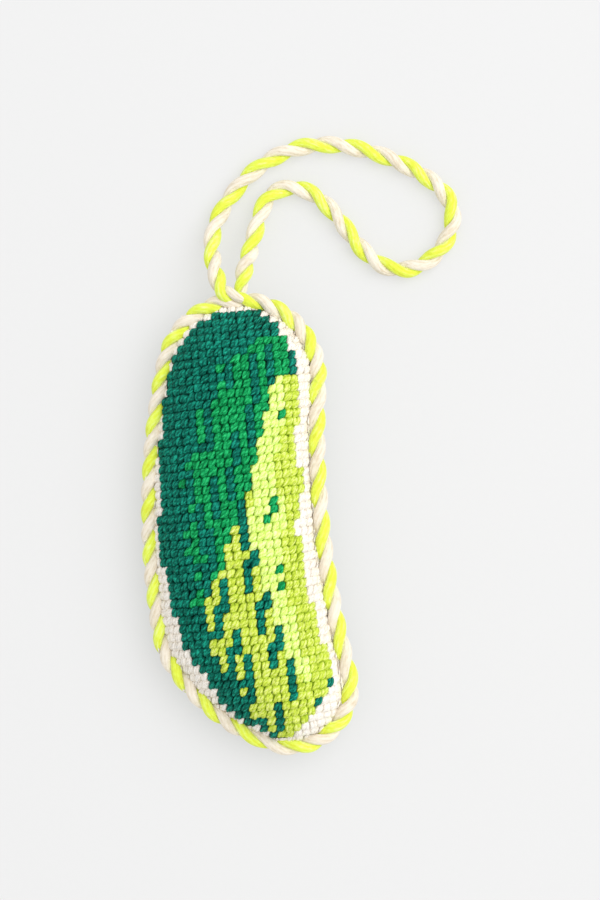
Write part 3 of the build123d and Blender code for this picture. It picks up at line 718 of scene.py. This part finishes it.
def groove_path(places, sunk):
    """Paths round the cord that follow the groove between its plies, a quarter turn from them.

    A path's distance along the cord is its place plus the angle gone round over the twist's rate there.
    """
    marks = np.append(edge_distance, edge_length)
    whole = np.append(edge_phase, edge_phase[0] + whole_twist)
    phase = np.interp(places % edge_length, marks, whole)
    rate = (np.interp((places + 1) % edge_length, marks, whole) - phase) % (2 * np.pi)
    middle = (WRAP_FROM + WRAP_TO) / 2
    at = (phase + np.pi / 2 - middle + np.pi / 2) % np.pi - np.pi / 2 + middle
    angle = np.linspace(WRAP_FROM, WRAP_TO, WRAP_POINTS) + 0 * places[:, None]
    distance = places[:, None] + (angle - at[:, None]) / rate[:, None]
    centre, out = edge_centre(distance.ravel())
    outward = np.column_stack([np.sin(angle).reshape(-1, 1) * out, np.cos(angle).ravel()])
    path = centre + (GROOVE_RADIUS + sunk) * outward
    return path.reshape(*angle.shape, 3), outward.reshape(*angle.shape, 3)


_, edge_radii, edge_starts, edge_bends = [value[:, 0] for value in arcs(-EDGE_LINE, np.ones(1))]
hanger_at = (HANGER_BEARING - edge_starts[0]) % (2 * np.pi) * (TOP_R + EDGE_LINE)
couch_places = hanger_at + edge_length * (np.arange(COUCH_COUNT) + 0.5) / COUCH_COUNT
sewn_threads("couching_thread", *groove_path(couch_places, COUCH_SUNK))

# Hanger tack
# Close wraps of the same thread that hold the roots of the loop to the edge cord, sunk in its groove.
TACK_PLACES = np.array([-0.5, 0.0, 0.5])
TACK_SUNK = 0.1
sewn_threads("hanger_tack", *groove_path(hanger_at + TACK_PLACES, TACK_SUNK))

# Closing stitches
# Hand stitches along the sole that shut the gap after filling, each a short slant from backing to cord. They
# lie two to each span between couching threads.
CLOSING_COUNT = 8
CLOSING_SLANT = 0.9
CLOSING_REACH = 2.4
CLOSING_DROP = 1.9
CLOSING_BOW = 0.5
edge_lengths = edge_radii * np.abs(edge_bends)
sole_middle = edge_lengths[:3].sum() + edge_lengths[3] / 2
spacing = edge_length / COUCH_COUNT / 2
closing_places = sole_middle + spacing * (np.arange(CLOSING_COUNT) - (CLOSING_COUNT - 1) / 2)
step = np.linspace(0, 1, 9)
centre, out = edge_centre((closing_places[:, None] + CLOSING_SLANT * step).ravel())
inward = np.tile(CLOSING_REACH * (1 - step), CLOSING_COUNT)[:, None]
dip = np.tile(CLOSING_DROP + CLOSING_BOW * np.sin(np.pi * (0.25 + 0.6 * step)), CLOSING_COUNT)
path = (centre - np.column_stack([inward * out, dip])).reshape(CLOSING_COUNT, len(step), 3)
sewn_threads("closing_thread", path, 0 * path - UP)

# Hanging loop
# The same cord carried on from the edge into a loop that lies on the table, both ends tucked into the edge
# cord at the top. It bends where it leaves the cushion.
PIVOT = np.array((-4.574, 57.072))
OUT = np.array((np.cos(HANGER_BEARING), np.sin(HANGER_BEARING)))
ACROSS = np.array((OUT[1], -OUT[0]))
LAID = -6.95
HANGER_STEPS = 480
# Turns of the twist by millimetres along the loop
HANGER_TWIST = np.array([(0, 0.3), (17, 2), (81, 7), (115, 10), (166, 14), (180, 15.5)])
# Places of the loop's line as (across, out, rise) from the pivot
HANGER_POINTS = np.array([
    (3.6, -5.2, 0.5), (0.4, -4.9, 0.9), (-2.2, -2.8, 0.6), (-2.8, 0.6, -0.1), (-3.4, 4.5, -1.5),
    (-3.2, 10.5, -4.5), (0.3, 17.5, LAID), (7.5, 24.8, LAID), (17, 29.3, LAID), (27.3, 29.6, LAID),
    (37.5, 26.2, LAID), (45, 22, LAID), (52, 16.5, LAID), (54.5, 10, LAID), (51.4, 2.6, LAID),
    (44.6, -2.1, LAID), (36.9, -1.5, LAID), (31.2, 4.2, LAID), (26.7, 12.6, LAID), (21.5, 18.7, LAID),
    (15.8, 20.6, LAID), (10.7, 18.6, 0.95 * LAID), (8, 12.5, -4.9), (5.4, 5.5, -1.9), (3.2, 0, -0.3),
    (2.0, -4.6, -1.0),
])
a, b, c = HANGER_POINTS.T
plan = PIVOT + a[:, None] * ACROSS + b[:, None] * OUT
route = np.column_stack([plan, SEAM_HEIGHT + c])
spline_data = bpy.data.curves.new("hanging_route", "CURVE")
spline_data.dimensions = "3D"
spline_data.resolution_u = 24
spline = spline_data.splines.new("NURBS")
spline.points.add(len(route) - 1)
spline.points.foreach_set("co", np.column_stack([route * 0.001, np.ones(len(route))]).ravel())
spline.order_u = 3
spline.use_endpoint_u = True
spline_holder = bpy.data.objects.new("hanging_route", spline_data)
bpy.context.scene.collection.objects.link(spline_holder)
bpy.context.view_layer.update()
line_mesh = bpy.data.meshes.new_from_object(spline_holder)
line = np.zeros(3 * len(line_mesh.vertices))
line_mesh.vertices.foreach_get("co", line)
line = 1000 * line.reshape(-1, 3)
bpy.data.objects.remove(spline_holder)
bpy.data.meshes.remove(line_mesh)
walked = np.append(0, np.cumsum(np.linalg.norm(np.diff(line, axis=0), axis=1)))
hanger_length = walked[-1]
even = np.linspace(0, hanger_length, HANGER_STEPS)
hanger_line = np.column_stack([np.interp(even, walked, line[:, k]) for k in range(3)])
hanger_phase = 2 * np.pi * np.interp(even, *HANGER_TWIST.T)
hanger_rings, ply_lines = twisted_plies(hanger_line, hanger_phase)
# Both ends are drawn thin where they are tucked into the edge cord
TUCKED = 5.0
TUCKED_SIZE = 0.45
from_end = np.minimum(even, hanger_length - even)
taper = TUCKED_SIZE + (1 - TUCKED_SIZE) * np.sin(np.pi / 2 * np.minimum(from_end / TUCKED, 1))
hanger_rings = hanger_line[:, None] + taper[:, None, None] * (hanger_rings - hanger_line[:, None])
ply_lines = hanger_line + taper[:, None] * (ply_lines - hanger_line)
vertices, faces = closed_strands(hanger_rings, ply_lines[:, 0], ply_lines[:, -1])
uv, groove = ply_values(hanger_phase, hanger_length)
per_ply = HANGER_STEPS * PLY_SIDES
uv = np.concatenate([uv[:per_ply], uv[[0, per_ply - 1]], uv[per_ply:], uv[[0, per_ply - 1]]])
groove = np.concatenate([groove[:per_ply], [0, 0], groove[per_ply:], [0, 0]])
ply_of_face = np.array([face[0] >= per_ply + 2 for face in faces]).astype(np.int32)
hanger = make_piece("hanging_loop_plies", vertices, faces, [neon_yarn, pale_yarn], uv,
                    ply_of_face, groove=groove)
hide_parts("hanger_loop")
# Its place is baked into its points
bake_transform(hanger)

# Floor, light and camera
# A pale sheet lit a little from below, one large soft light from the upper right and a camera straight above.
FLOOR_REACH = 1500.0
FLOOR_LEVEL = -0.1
EYE_HEIGHT = 600.0
VIEW_HEIGHT = 209.3
corners = FLOOR_REACH * np.array([(-1, -1), (1, -1), (1, 1), (-1, 1)])
floor_points = np.column_stack([corners, np.full(len(corners), FLOOR_LEVEL)])
white_card, tree = blank_finish("matt_white_card")
place = add(tree, "TexCoord", {}).outputs["Object"]
grain = add(tree, "TexNoise", {"Vector": place, "Scale": 1 / 0.0015, "Detail": 2.0}).outputs["Fac"]
tint = tinted(tree, grain, "#8f8f8f", "#919191")
surface(tree, {
    "Base Color": tint, "Roughness": 0.9, "IOR": 1.5, "Specular IOR Level": 0.1,
    "Emission Color": (1, 1, 1, 1), "Emission Strength": 0.53})
floor = make_piece("card_floor", floor_points, [[0, 1, 2, 3]], [white_card])

world = bpy.data.worlds.new("soft_room")
world.use_nodes = True
world.node_tree.nodes["Background"].inputs["Color"].default_value = (1, 1, 1, 1)
world.node_tree.nodes["Background"].inputs["Strength"].default_value = 0.86
bpy.context.scene.world = world
key_data = bpy.data.lights.new("soft_key", "AREA")
key_data.shape = "DISK"
key_data.size = 1.2
key_data.energy = 8.0
key = bpy.data.objects.new("soft_key", key_data)
key_place = np.array((0.52, 0.28, 0.9))
tip = np.arctan2(np.hypot(*key_place[:2]), key_place[2])
key.location = key_place.tolist()
key.rotation_euler = (tip, 0, np.arctan2(key_place[0], -key_place[1]))
bpy.context.scene.collection.objects.link(key)

camera_data = bpy.data.cameras.new("overhead_camera")
camera_data.lens = camera_data.sensor_width * EYE_HEIGHT / VIEW_HEIGHT
camera_data.clip_start = 0.05
camera = bpy.data.objects.new("overhead_camera", camera_data)
camera.location = (0.01198, 0.0171, (EYE_HEIGHT + SEAM_HEIGHT) * 0.001)
bpy.context.scene.collection.objects.link(camera)
bpy.context.scene.camera = camera
bpy.context.scene.view_settings.view_transform = "Standard"
